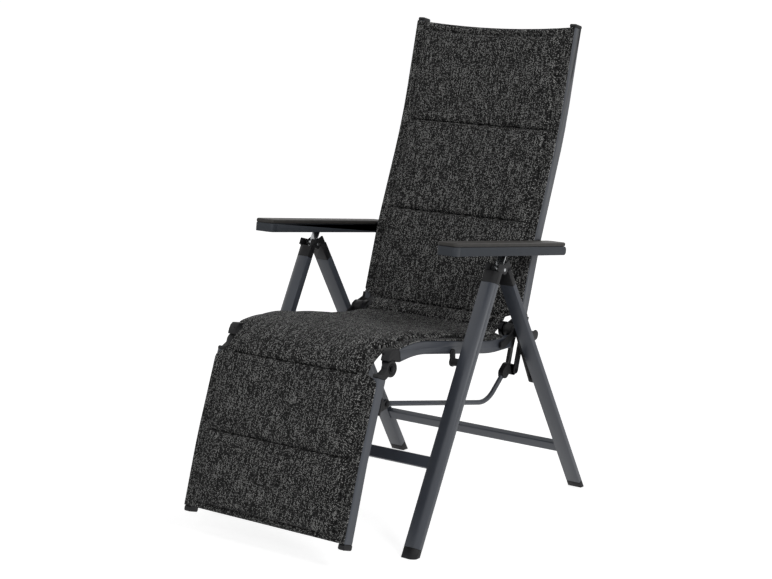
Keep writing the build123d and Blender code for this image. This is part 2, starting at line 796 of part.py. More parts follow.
def add_pair(name, right):
    """Keep a node for each side."""
    for side, solid in zip(("right", "left"), both_sides(right)):
        add(name + "_" + side, solid)


bolt_hole = [(seat_pivot, pivot_bolt_radius + pin_clearance)]
link_hole = [(link_pivot, link_bolt_radius)]
arm_hole = [(arm_pivot, arm_pin_radius)]
x_tube = frame_outer_x - frame_width
x_arm = arm_inner_x + arm_width / 2
x_leg = leg_inner_x + leg_width
fork_reach = rod_fork_thickness / 2
hub_wall = hub_bush_wall - pin_clearance
hub_bush = bush(back_hinge, hub_pin_radius, hub_wall, x_tube - hub_overlap, frame_outer_x + hub_overlap)
disc_wall = hinge_disc_radius - hub_pin_radius - pin_clearance
hinge_disc = bush(back_hinge, hub_pin_radius, disc_wall, disc_x - hinge_disc_thickness, disc_x)
flange_wall = arm_flange_radius - arm_pin_radius - pin_clearance
flange_x = arm_inner_x - lane_gap
arm_bush = bush(arm_pivot, arm_pin_radius, bush_wall, flange_x, x_arm)
arm_bush += bush(arm_pivot, arm_pin_radius, flange_wall, frame_outer_x + lane_gap, flange_x)
rod_x_low = rod_middle() - fork_reach
fork_bush = bush(crank_pivot, crank_pin_radius, crank_bush_wall, rod_x_low, rod_x_low + rod_fork_thickness)
add_pair("front_leg", leg_tube(front_line, front_up, -1, front_tube_top, bolt_hole))
add_pair("rear_leg", leg_tube(rear_line, rear_up, 1, rear_tube_top, link_hole))
add("front_foot_caps", both_sides(foot_cap(front_line, front_up, -1)))
add("rear_foot_caps", both_sides(foot_cap(rear_line, rear_up, 1)))
add("front_hinge_caps", both_sides(hinge_cap(front_line, front_up, -1, front_tube_top, 0)))
add("rear_hinge_caps", both_sides(hinge_cap(rear_line, rear_up, 1, rear_tube_top, cap_cheek + lane_gap)))
add("top_hinge_pins", both_sides(rod_x(hinge, hinge_pin_radius, leg_inner_x, x_leg)))
add("front_crossbar", crossbar(front_line, front_up, front_bar_drop))
add("rear_crossbar", crossbar(rear_line, rear_up, rear_bar_drop))
add("ratchet_tongues", both_sides(ratchet_tongue()))
add("seat_pivot_bolts", both_sides(seat_bolt()))
add("link_bolts", both_sides(link_bolt()))
add("folding_links", both_sides(folding_link()))
add_pair("seat_tube", bent_tube(seat_path))
add("seat_front_cross_tube", cross_tube(seat_path, seat_front_cross_share))
add("seat_rear_cross_tube", cross_tube(seat_path, seat_rear_cross_share))
add("seat_front_knuckles", both_sides(seat_front_knuckle()))
add("seat_pivot_brackets", both_sides(seat_bracket()))
add("seat_rear_hubs", both_sides(seat_hub()))
add("recline_stops", both_sides(stop_plate()))
add("recline_bushes", both_sides(hub_bush) + both_sides(hinge_disc))
add("recline_pins", both_sides(recline_pin()))
add("crank_arms", both_sides(crank_arm()))
add("crank_pins", both_sides(crank_pin()))
add("crank_bushes", both_sides(fork_bush))
add_pair("back_tube", bent_tube(back_path, arm_hole))
add("back_top_caps", both_sides(tube_cap(back_path, 1, back_cap_length)))
add("back_lower_cross_tube", cross_tube(back_path, back_cross_share))
add("back_upper_cross_tube", cross_tube(back_path, 1 - back_cross_share / 2))
add("armrest_pins", both_sides(arm_pin()))
add("armrest_bushes", both_sides(arm_bush))
add_pair("armrest_body", arm_body())
add_pair("armrest_plate", arm_plate())
add_pair("armrest_front_cap", arm_front_cap())
add_pair("armrest_rack", arm_rack())
add("rest_bushes", both_sides(bush(rest_hinge, hinge_pin_radius, rest_bush_wall, x_tube, frame_outer_x)))
add("rest_pins", both_sides(rest_pin()))
add("rest_knuckles", both_sides(rest_knuckle()))
add_pair("rest_tube", bent_tube(rest_path))
add("rest_bottom_caps", both_sides(tube_cap(rest_path, 1, cap_length)))
add("rest_cross_tube", cross_tube(rest_path, rest_cross_share))
add("rod_lugs", both_sides(rod_lug()))
add("rod_lug_bolts", [solid for head in lug_bolt() for solid in both_sides(head)])
add("lift_rods", both_sides(lift_rod()))
add("rod_ends", both_sides(rod_fork()))
add("back_pad", pad(back_path, back_pad_start, back_pad_end, shares(back_path, back_seam_shares), 1))
add("seat_pad", pad(seat_path, seat_pad_start, seat_pad_end, shares(seat_path, seat_seam_shares), 1))
add("rest_pad", pad(rest_path, rest_pad_start, rest_pad_end, shares(rest_path, rest_seam_shares), -1))

os.makedirs("parts", exist_ok=True)
boxes = [solid.bounding_box() for solids in nodes.values() for solid in solids]
middle_y = (min(box.min.Y for box in boxes) + max(box.max.Y for box in boxes)) / 2
floor_z = min(box.min.Z for box in boxes)
for name, solids in nodes.items():
    moved = [Pos(0, -middle_y, -floor_z) * solid for solid in solids]
    export_step(moved[0] if len(moved) == 1 else Compound(moved), "parts/" + name + ".step")
print(len(nodes), "nodes, floor", floor_z, "middle", middle_y)
for label, point in (("hinge", hinge), ("seat_pivot", seat_pivot), ("back_hinge", back_hinge),
                     ("rest_hinge", rest_hinge), ("link_pivot", link_pivot), ("crank_pivot", crank_pivot),
                     ("rod_pivot", rod_pivot), ("arm_pivot", arm_pivot)):
    print(label, round(point.X - middle_y, 3), round(point.Y - floor_z, 3))
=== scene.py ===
"""Reclining garden armchair: padded sling, coated tubes, moulded fittings, plain studio."""
import json
from math import cos, exp, pi, radians, sin, sqrt, tan

import bmesh
import bpy
from bpy.props import FloatProperty, FloatVectorProperty, PointerProperty
from bpy.types import Operator, Panel, PropertyGroup
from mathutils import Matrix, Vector, noise

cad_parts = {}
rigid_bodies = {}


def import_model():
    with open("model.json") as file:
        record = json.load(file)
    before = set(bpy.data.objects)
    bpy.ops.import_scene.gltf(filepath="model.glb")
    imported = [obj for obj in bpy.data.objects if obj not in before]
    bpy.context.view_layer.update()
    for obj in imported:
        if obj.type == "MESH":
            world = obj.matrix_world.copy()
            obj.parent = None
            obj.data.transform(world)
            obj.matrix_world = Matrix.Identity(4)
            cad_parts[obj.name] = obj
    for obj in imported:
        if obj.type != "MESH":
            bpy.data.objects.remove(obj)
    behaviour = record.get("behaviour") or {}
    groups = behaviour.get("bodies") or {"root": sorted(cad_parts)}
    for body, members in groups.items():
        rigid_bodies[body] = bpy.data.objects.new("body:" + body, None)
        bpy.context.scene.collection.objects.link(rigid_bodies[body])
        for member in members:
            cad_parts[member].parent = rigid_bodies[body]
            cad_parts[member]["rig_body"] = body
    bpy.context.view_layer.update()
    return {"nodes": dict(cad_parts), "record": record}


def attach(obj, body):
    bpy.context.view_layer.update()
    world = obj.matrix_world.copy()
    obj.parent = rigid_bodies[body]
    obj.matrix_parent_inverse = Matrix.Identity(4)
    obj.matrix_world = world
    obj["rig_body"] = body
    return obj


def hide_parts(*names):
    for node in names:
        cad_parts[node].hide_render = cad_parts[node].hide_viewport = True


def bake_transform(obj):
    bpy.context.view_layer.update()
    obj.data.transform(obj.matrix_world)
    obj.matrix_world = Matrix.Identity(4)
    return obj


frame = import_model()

bl_info = {
    "name": "Reclining garden armchair",
    "version": (1, 0, 0),
    "blender": (4, 5, 0),
    "location": "3D view > Sidebar > Armchair",
    "description": "Dresses the packed armchair with its padded sling, finishes and a plain studio",
    "category": "Object",
}

MM = 0.001


def linear(hex_colour):
    """Linear colour from an sRGB hex value."""
    parts = [int(hex_colour[i:i + 2], 16) / 255 for i in (0, 2, 4)]
    return tuple(c / 12.92 if c <= 0.04045 else ((c + 0.055) / 1.055) ** 2.4 for c in parts)


def length_prop(name, description, millimetres):
    return FloatProperty(name=name, description=description, default=millimetres * MM, min=0,
                         unit="LENGTH", subtype="DISTANCE")


def colour_prop(name, description, hex_colour):
    return FloatVectorProperty(name=name, description=description, default=linear(hex_colour),
                               size=3, min=0, max=1, subtype="COLOR")


class ArmchairSizes(PropertyGroup):
    hem_thickness: length_prop("Hem thickness", "Doubled cloth at the sling's edges", 3)
    pad_height: length_prop("Pad height", "How far a padded channel rises above the hem", 16)
    row_step: length_prop("Row spacing", "Spacing of the sling's mesh along the chair", 6)
    side_hem: length_prop("Side hem", "Flat border between a side tube and the padding", 29)
    half_width: length_prop("Half width", "Half of the sling's width over the tubes", 240.5)
    rear_neck: length_prop("Rear neck", "How far the sling draws in at the back's hinge", 38.5)
    front_neck: length_prop("Front neck", "How far it draws in at the leg rest's hinge", 31)
    pucker: length_prop("Pucker", "Height of the small folds beside a seam", 0.9)
    sag: length_prop("Sag", "How far the sling hangs between the tubes", 5)
    stitch_step: length_prop("Stitch spacing", "Distance from one stitch to the next", 6)
    stitch_length: length_prop("Stitch length", "Length of one visible stitch", 4)
    thread: length_prop("Thread", "Thickness of the sewing thread", 1.4)
    weave: length_prop("Weave", "Distance from one yarn to the next", 1.9)
    moulded_edge: length_prop("Moulded edge", "Rounding of moulded plastic edges", 1.0)
    soft_edge: length_prop("Soft edge", "Rounding of knuckles and end caps", 2.2)
    metal_edge: length_prop("Metal edge", "Rounding of sheet and bar edges", 0.5)


class ArmchairColours(PropertyGroup):
    cloth_dark: colour_prop("Cloth, dark yarn", "Most of the yarns", "0f0f0f")
    cloth_mid: colour_prop("Cloth, grey yarn", "The grey yarns between them", "3a3a3a")
    cloth_light: colour_prop("Cloth, light yarn", "The flecks", "c8c8c6")
    thread: colour_prop("Thread", "Sewing thread", "0c0c0e")
    coat: colour_prop("Powder coat", "Legs and tubes", "3d4149")
    moulding: colour_prop("Moulding", "Black plastic fittings", "121214")
    shell: colour_prop("Armrest shell", "Armrest bodies and front caps", "363a40")
    grip: colour_prop("Armrest top", "Plate that the arm lies on", "383634")
    steel: colour_prop("Steel", "Ratchet tongues and bolts", "b4b6b8")
    black_zinc: colour_prop("Black zinc", "Pins and bushes", "1c1c1e")
    floor: colour_prop("Floor", "Studio floor and backdrop", "dcdcdc")


def sizes():
    return bpy.context.scene.armchair_sizes


def colours():
    return bpy.context.scene.armchair_colours


# Materials

def feed(tree, node, **links):
    """Give a node's inputs, by name with _ for a space or as iN by number, a value or a socket."""
    for key, value in links.items():
        by_number = key[0] == "i" and key[1:].isdigit()
        slot = node.inputs[int(key[1:]) if by_number else key.replace("_", " ")]
        if isinstance(value, bpy.types.NodeSocket):
            tree.links.new(value, slot)
        else:
            slot.default_value = value


def add_node(tree, kind, settings=None, stops=(), **links):
    """A shader node with its settings, the stops of its ramp if it has one, and its inputs."""
    node = tree.nodes.new(kind)
    for key, value in (settings or {}).items():
        setattr(node, key, value)
    for k, (position, colour) in enumerate(stops):
        ramp = node.color_ramp.elements
        stop = ramp[k] if k < 2 else ramp.new(position)
        stop.position = position
        stop.color = (*colour, 1)
    feed(tree, node, **links)
    return node


def new_material(name):
    """A material and its shader, ready for a pattern."""
    material = bpy.data.materials.new(name)
    material.use_nodes = True
    tree = material.node_tree
    return material, tree, tree.nodes["Principled BSDF"]


def object_place(tree):
    """The place on the chair in metres, which patterns follow on all rigid pieces."""
    return add_node(tree, "ShaderNodeTexCoord").outputs["Object"]


def at_level(colour, level):
    """A colour made paler or darker."""
    return [c * level for c in colour]


def powder_coat():
    """Powder coat baked on aluminium tube: satin, fine orange peel, with a painted highlight on its
    sharp edges.
    """
    material, tree, shader = new_material("powder_coated_aluminium")
    coat = colours().coat
    place = object_place(tree)
    # Orange peel has bumps about 1 mm apart; drawn at 2.2 mm, 450 to the metre, so that it shows
    peel = add_node(tree, "ShaderNodeTexNoise", Vector=place, Scale=450.0,
                    Detail=2.0).outputs["Fac"]
    # Uneven baking: patches about 11 cm across
    cloudy = add_node(tree, "ShaderNodeTexNoise", Vector=place, Scale=9.0,
                      Detail=3.0).outputs["Fac"]
    shades = add_node(tree, "ShaderNodeValToRGB", Fac=cloudy,
                      stops=((0.35, at_level(coat, 0.88)), (0.65, at_level(coat, 1.08))))
    # Painted highlight: sharp convex edges, found by pointiness, are drawn 1.7 times paler than the
    # coat
    sharp = add_node(tree, "ShaderNodeNewGeometry").outputs["Pointiness"]
    edge_highlight_mask = add_node(tree, "ShaderNodeMapRange", Value=sharp, From_Min=0.53, From_Max=0.62)
    painted_edge_highlight = [min(1, c) for c in at_level(coat, 1.7)]
    mix = add_node(tree, "ShaderNodeMix", {"data_type": "RGBA"}, Factor=edge_highlight_mask.outputs["Result"],
                   i6=shades.outputs["Color"], i7=(*painted_edge_highlight, 1))
    rough = add_node(tree, "ShaderNodeMapRange", Value=peel, To_Min=0.36, To_Max=0.5)
    bump = add_node(tree, "ShaderNodeBump", Strength=0.12, Distance=0.4 * MM, Height=peel)
    feed(tree, shader, Base_Color=mix.outputs[2], Roughness=rough.outputs["Result"],
         Normal=bump.outputs["Normal"], Coat_Weight=0.1, Coat_Roughness=0.35)
    return material


def moulded(name, base):
    """Injection-moulded plastic: dull, with faint flow marks and a fine spark-eroded grain."""
    material, tree, shader = new_material(name)
    place = object_place(tree)
    # The grain is about 0.3 mm; drawn at 1.25 mm, 800 to the metre, so that it shows
    grain = add_node(tree, "ShaderNodeTexNoise", Vector=place, Scale=800.0,
                     Detail=2.0).outputs["Fac"]
    # Flow marks about 25 mm apart
    flow = add_node(tree, "ShaderNodeTexNoise", Vector=place, Scale=40.0,
                    Detail=2.0).outputs["Fac"]
    shades = add_node(tree, "ShaderNodeValToRGB", Fac=flow,
                      stops=((0.0, at_level(base, 0.85)), (1.0, at_level(base, 1.2))))
    rough = add_node(tree, "ShaderNodeMapRange", Value=grain, To_Min=0.45, To_Max=0.65)
    bump = add_node(tree, "ShaderNodeBump", Strength=0.2, Distance=0.3 * MM, Height=grain)
    feed(tree, shader, Base_Color=shades.outputs["Color"], Roughness=rough.outputs["Result"],
         Normal=bump.outputs["Normal"], Specular_IOR_Level=0.3)
    return material


def moulded_nylon():
    """Glass-filled nylon: near black."""
    return moulded("moulded_black_nylon", colours().moulding)


def moulded_shell():
    """Coloured polypropylene of the armrest: blue-grey like the coated tubes."""
    return moulded("moulded_grey_polypropylene", colours().shell)


def arm_plate_plastic():
    """Textured polypropylene plate: warm dark grey with a leather-like moulded grain."""
    material, tree, shader = new_material("textured_polypropylene")
    base = colours().grip
    place = object_place(tree)
    # The moulded grain has cells about 1.5 mm across, 650 to the metre
    cells = add_node(tree, "ShaderNodeTexVoronoi", {"feature": "SMOOTH_F1"}, Vector=place,
                     Scale=650.0).outputs["Distance"]
    # Handled patches about 17 mm across
    cloudy = add_node(tree, "ShaderNodeTexNoise", Vector=place, Scale=60.0,
                      Detail=4.0).outputs["Fac"]
    shades = add_node(tree, "ShaderNodeValToRGB", Fac=cloudy,
                      stops=((0.3, at_level(base, 0.8)), (0.7, at_level(base, 1.15))))
    rough = add_node(tree, "ShaderNodeMapRange", Value=cells, To_Min=0.62, To_Max=0.45)
    bump = add_node(tree, "ShaderNodeBump", Strength=0.25, Distance=0.4 * MM, Height=cells)
    feed(tree, shader, Base_Color=shades.outputs["Color"], Roughness=rough.outputs["Result"],
         Normal=bump.outputs["Normal"], Specular_IOR_Level=0.3)
    return material


def plated(name, base):
    """Plated steel with fine drawing lines across the chair and a little tarnish."""
    material, tree, shader = new_material(name)
    # Drawing lines 0.6 mm apart and 11 mm long
    stretched = add_node(tree, "ShaderNodeMapping", Vector=object_place(tree),
                         Scale=(90.0, 1600.0, 1600.0)).outputs["Vector"]
    lines = add_node(tree, "ShaderNodeTexNoise", Vector=stretched, Scale=1.0,
                     Detail=3.0).outputs["Fac"]
    shades = add_node(tree, "ShaderNodeValToRGB", Fac=lines,
                      stops=((0.0, at_level(base, 0.75)), (1.0, base)))
    rough = add_node(tree, "ShaderNodeMapRange", Value=lines, To_Min=0.2, To_Max=0.38)
    bump = add_node(tree, "ShaderNodeBump", Strength=0.1, Distance=0.2 * MM, Height=lines)
    feed(tree, shader, Base_Color=shades.outputs["Color"], Roughness=rough.outputs["Result"],
         Normal=bump.outputs["Normal"], Metallic=1.0)
    return material


def plated_steel():
    """Bright zinc plating."""
    return plated("zinc_plated_steel", colours().steel)


def black_plated_steel():
    """Black zinc plating."""
    return plated("black_zinc_plated_steel", colours().black_zinc)


def woven_cloth():
    """Coated polyester in a plain weave of black, grey and light yarns, dull with a soft sheen."""
    material, tree, shader = new_material("woven_melange_cloth")
    shade = colours()
    # The real yarns are about 1 mm apart; drawn at the named weave size so that they show
    pitch = sizes().weave
    uv = add_node(tree, "ShaderNodeUVMap", {"uv_map": "Weave"}).outputs["UV"]

    def scaled(across, along):
        return add_node(tree, "ShaderNodeMapping", Vector=uv,
                        Scale=(across, along, 1.0)).outputs["Vector"]

    def cloudy(across, along):
        return add_node(tree, "ShaderNodeTexNoise", Vector=scaled(across, along), Scale=1.0,
                        Detail=2.0).outputs["Fac"]

    def math(operation, first, second=0.0):
        return add_node(tree, "ShaderNodeMath", {"operation": operation}, i0=first,
                        i1=second).outputs[0]

    # Plain weave: warp and weft show in turn, and only the yarn on top can carry a light fleck
    split = add_node(tree, "ShaderNodeSeparateXYZ", Vector=scaled(1 / pitch, 1 / pitch))
    across, along = split.outputs["X"], split.outputs["Y"]
    column = math("FLOOR", across)
    row = math("FLOOR", along)
    over = math("ABSOLUTE", math("MODULO", math("ADD", column, row), 2.0))
    seed = add_node(tree, "ShaderNodeCombineXYZ", X=column, Y=row).outputs[0]
    fleck = add_node(tree, "ShaderNodeTexWhiteNoise", Vector=seed).outputs["Value"]
    # Slub yarns: streaks one or two yarns wide and about 4 cm long
    slub = cloudy(0.7 / pitch, 26.0)
    # Clouds about 17 mm across and 7 cm long
    cloud = cloudy(60.0, 14.0)
    tone = math("ADD", math("MULTIPLY", over, 0.34), math("MULTIPLY", fleck, 0.66))
    tone = math("ADD", tone, math("MULTIPLY", math("SUBTRACT", slub, 0.5), 1.1))
    tone = math("ADD", tone, math("MULTIPLY", math("SUBTRACT", cloud, 0.5), 0.25))
    yarns = add_node(tree, "ShaderNodeValToRGB", Fac=tone,
                     stops=((0.0, at_level(shade.cloth_dark, 0.6)), (1.0, shade.cloth_light),
                            (0.4, shade.cloth_dark), (0.66, shade.cloth_mid)))
    # Painted shade in the gaps where the yarn cells meet and painted light on the rounded yarn
    # tops, scaling the yarn colour
    ripple_x = math("ABSOLUTE", math("SINE", math("MULTIPLY", across, pi)))
    ripple_y = math("ABSOLUTE", math("SINE", math("MULTIPLY", along, pi)))
    height = math("MULTIPLY", math("POWER", ripple_x, 0.6), math("POWER", ripple_y, 0.6))
    painted_yarn_shading = add_node(tree, "ShaderNodeMapRange", Value=height, To_Min=0.3, To_Max=1.3)
    shaded = add_node(tree, "ShaderNodeVectorMath", {"operation": "SCALE"},
                      i0=yarns.outputs["Color"], Scale=painted_yarn_shading.outputs["Result"])
    bump = add_node(tree, "ShaderNodeBump", Strength=0.55, Distance=0.6 * MM, Height=height)
    rough = add_node(tree, "ShaderNodeMapRange", Value=fleck, To_Min=0.8, To_Max=0.55)
    feed(tree, shader, Base_Color=shaded.outputs["Vector"], Roughness=rough.outputs["Result"],
         Normal=bump.outputs["Normal"], Specular_IOR_Level=0.1, Sheen_Weight=0.03,
         Sheen_Roughness=0.5)
    return material


def sewing_thread():
    """Bonded polyester thread: black, with a tight two-ply twist."""
    material, tree, shader = new_material("bonded_thread")
    base = colours().thread
    # One turn of the twist each 0.7 mm
    twist = add_node(tree, "ShaderNodeTexNoise", Vector=object_place(tree), Scale=1500.0,
                     Detail=1.0).outputs["Fac"]
    shades = add_node(tree, "ShaderNodeValToRGB", Fac=twist,
                      stops=((0.0, at_level(base, 0.6)), (1.0, at_level(base, 2.2))))
    feed(tree, shader, Base_Color=shades.outputs["Color"], Roughness=0.6)
    return material


MAKERS = {"frame": powder_coat, "plastic": moulded_nylon, "armrest": arm_plate_plastic,
          "steel": plated_steel, "shell": moulded_shell, "black_steel": black_plated_steel,
          "sling": woven_cloth, "thread": sewing_thread}
made_materials = {}


def finish_for(slot):
    """The material of a slot, made once."""
    if slot not in made_materials:
        made_materials[slot] = MAKERS[slot]()
    return made_materials[slot]


# Rigid pieces

def deselect():
    bpy.ops.object.select_all(action="DESELECT")


def pick(piece):
    """Make a piece the only one selected."""
    deselect()
    piece.select_set(True)
    bpy.context.view_layer.objects.active = piece


def slot_of(node):
    for part in frame["record"]["subparts"]:
        if part["node"] == node:
            return part["material_slot"]
    raise RuntimeError("no slot for " + node)


# Merging distances before and after the rounding, the bend under which faces join, the bend over
# which an edge is rounded, and the bend up to which shading is smooth
DOUBLES = 0.02 * MM
BEVEL_DOUBLES = 0.01 * MM
FLAT_ANGLE = radians(1.5)
SHARP_ANGLE = radians(32)
SMOOTH_ANGLE = radians(38)


def finished_copy(node, edge_round, segments=2):
    """Copy of a CAD node, merged, with sharp edges rounded and its own finish, in its place."""
    source = frame["nodes"][node]
    piece = bpy.data.objects.new(node + "_finished", source.data.copy())
    bpy.context.scene.collection.objects.link(piece)
    pick(piece)
    bpy.ops.object.mode_set(mode="EDIT")
    bpy.ops.mesh.select_all(action="SELECT")
    bpy.ops.mesh.remove_doubles(threshold=DOUBLES)
    bpy.ops.mesh.dissolve_limited(angle_limit=FLAT_ANGLE)
    bpy.ops.object.mode_set(mode="OBJECT")
    if edge_round:
        bevel = piece.modifiers.new("Rounded edges", "BEVEL")
        bevel.width = edge_round
        bevel.segments = segments
        bevel.limit_method = "ANGLE"
        bevel.angle_limit = SHARP_ANGLE
        bevel.use_clamp_overlap = False
        bevel.loop_slide = False
        bevel.miter_outer = "MITER_ARC"
        bpy.ops.object.modifier_apply(modifier=bevel.name)
    bpy.ops.object.mode_set(mode="EDIT")
    bpy.ops.mesh.select_all(action="SELECT")
    bpy.ops.mesh.remove_doubles(threshold=BEVEL_DOUBLES)
    bpy.ops.object.mode_set(mode="OBJECT")
    bpy.ops.object.shade_smooth_by_angle(angle=SMOOTH_ANGLE)
    piece.data.materials.clear()
    piece.data.materials.append(finish_for(slot_of(node)))
    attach(piece, source["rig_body"])
    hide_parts(node)
    return piece


# Sling: side-view path from the top of the back to the foot of the leg rest, as (Y, Z) in metres

def leaning(lean):
    return Vector((sin(radians(lean)), cos(radians(lean))))


def joint_place(name):
    """Side-view place (Y, Z) of a joint in metres."""
    for joint in frame["record"]["behaviour"]["joints"]:
        if joint["name"] == name:
            return Vector(joint["pos_m"][1:])
    raise RuntimeError("no joint " + name)


def from_joint(name, y, z):
    return joint_place(name) + Vector((y, z)) * MM


BACK_START = from_joint("back_fold", 38, 14)
BACK_BEND_LOW = BACK_START + leaning(17.8) * 200 * MM
BACK_BEND_HIGH = BACK_BEND_LOW + leaning(22) * 280 * MM
BACK_TOP = BACK_BEND_HIGH + leaning(14.6) * 259 * MM
SEAT_FRONT = from_joint("rest_fold", 30, 25)
SEAT_HUMP = from_joint("seat_fold", -132.24, 57)
SEAT_BEND = from_joint("seat_fold", 164.465, 4)
SEAT_REAR = from_joint("back_fold", -10, -25.5)
REST_START = from_joint("rest_fold", -36, -17)
REST_BEND = REST_START - leaning(20.5) * 208 * MM
REST_END = REST_BEND - leaning(17.2) * 165 * MM
# The cloth lies just over the side tubes, which reach 15.5 mm from their middle line
CLOTH_LIFT = 16.1 * MM
# Steps along the tubes and along the cloth
COARSE_STEP = 4 * MM
LINE_STEP = 2 * MM


def rounded(points, radii):
    """Points along a line with its inner corners rounded."""
    out = [points[0]]
    for before, corner, after, radius in zip(points, points[1:], points[2:], radii):
        to_before = (before - corner).normalized()
        to_after = (after - corner).normalized()
        turn = pi - to_before.angle(to_after)
        reach = min(radius * tan(turn / 2), (before - corner).length * 0.95,
                    (after - corner).length * 0.95)
        start, end = corner + to_before * reach, corner + to_after * reach
        count = max(3, int(2 * reach / COARSE_STEP))
        for k in range(count + 1):
            share = k / count
            out.append(start.lerp(corner, share).lerp(corner.lerp(end, share), share))
    out.append(points[-1])
    return out


def respaced(points, step):
    """The same line with evenly spaced points."""
    lengths = [0.0]
    for first, second in zip(points, points[1:]):
        lengths.append(lengths[-1] + (second - first).length)
    count = max(2, round(lengths[-1] / step))
    out, i = [], 0
    for k in range(count + 1):
        s = lengths[-1] * k / count
        while i < len(lengths) - 2 and lengths[i + 1] < s:
            i += 1
        share = (s - lengths[i]) / max(lengths[i + 1] - lengths[i], 1e-9)
        out.append(points[i].lerp(points[i + 1], min(1, share)))
    return out


def facing(points):
    """Normals of the line, on the sitter's side."""
    out = []
    for i in range(len(points)):
        run = (points[min(i + 1, len(points) - 1)] - points[max(i - 1, 0)]).normalized()
        out.append(Vector((run.y, -run.x)))
    return out


def over_tubes(corners, radii, start, end):
    """The cloth's line over a rounded tube line, without a length at its start and its end."""
    tube = respaced(rounded(corners, radii), COARSE_STEP)
    cloth = respaced([p + n * CLOTH_LIFT for p, n in zip(tube, facing(tube))], LINE_STEP)
    return cloth[round(start / LINE_STEP):len(cloth) - round(end / LINE_STEP)]


def hermite(start, start_run, end, end_run, count):
    """Smooth curve between two points with a given direction and pull at each."""
    out = []
    for k in range(1, count):
        t = k / count
        out.append(start * (2 * t ** 3 - 3 * t ** 2 + 1) + start_run * (t ** 3 - 2 * t ** 2 + t)
                   + end * (3 * t ** 2 - 2 * t ** 3) + end_run * (t ** 3 - t ** 2))
    return out


def sling_line():
    """The whole line from the top of the back to the foot of the leg rest."""
    back = over_tubes([BACK_TOP, BACK_BEND_HIGH, BACK_BEND_LOW, BACK_START], [1.5, 1.2], 0, 26 * MM)
    seat = over_tubes([SEAT_REAR, SEAT_BEND, SEAT_HUMP, SEAT_FRONT], [0.4, 0.3], 30 * MM, 18 * MM)
    rest = over_tubes([REST_START, REST_BEND, REST_END], [1.5], 8 * MM, 0)
    down = (back[-1] - back[-2]).normalized()
    forward = (seat[1] - seat[0]).normalized()
    nose = (seat[-1] - seat[-2]).normalized()
    drop = (rest[1] - rest[0]).normalized()
    crease = hermite(back[-1], down * 85 * MM, seat[0], forward * 60 * MM, 30)
    front = hermite(seat[-1], nose * 115 * MM, rest[0], drop * 100 * MM, 50)
    return respaced(back + crease + seat + front + rest, LINE_STEP)


def swell(distance, reach):
    """Quarter-round rise from a seam, 0 to 1."""
    t = max(0.0, min(1.0, distance / reach))
    return sqrt(1 - (1 - t) ** 2)


# Seams: heights on the back and on the leg rest, and places from a joint beside the hinges and
# on the seat, from the top down
BACK_SEAMS = (1.140, 0.911, 0.690)
HINGE_SEAMS = (("back_fold", 19.7, 21), ("back_fold", -15.8, -4), ("seat_fold", 91.2, 38),
               ("seat_fold", -58.8, 68))
REST_SEAMS = (0.425, 0.249, 0.085)
CREASE = ("back_fold", -0.8, 5)
NOSE = ("rest_fold", -25.8, 25)
# Necks: how far each reaches along the sling from its hinge, and how quickly it is full
REAR_NECK_REACH = 52 * MM
FRONT_NECK_REACH = 62 * MM
NECK_STEEPNESS = 2.2
# How often the line's normals are smoothed, so that rows don't cross inside a bend
NORMAL_PASSES = 6
# Padding: a steep rise beside each seam, a broad one over the channel, and a roll at both ends
STEEP_SHARE, STEEP_REACH = 0.66, 9 * MM
BROAD_SHARE, BROAD_REACH = 0.34, 70 * MM
END_ROLL = 0.25


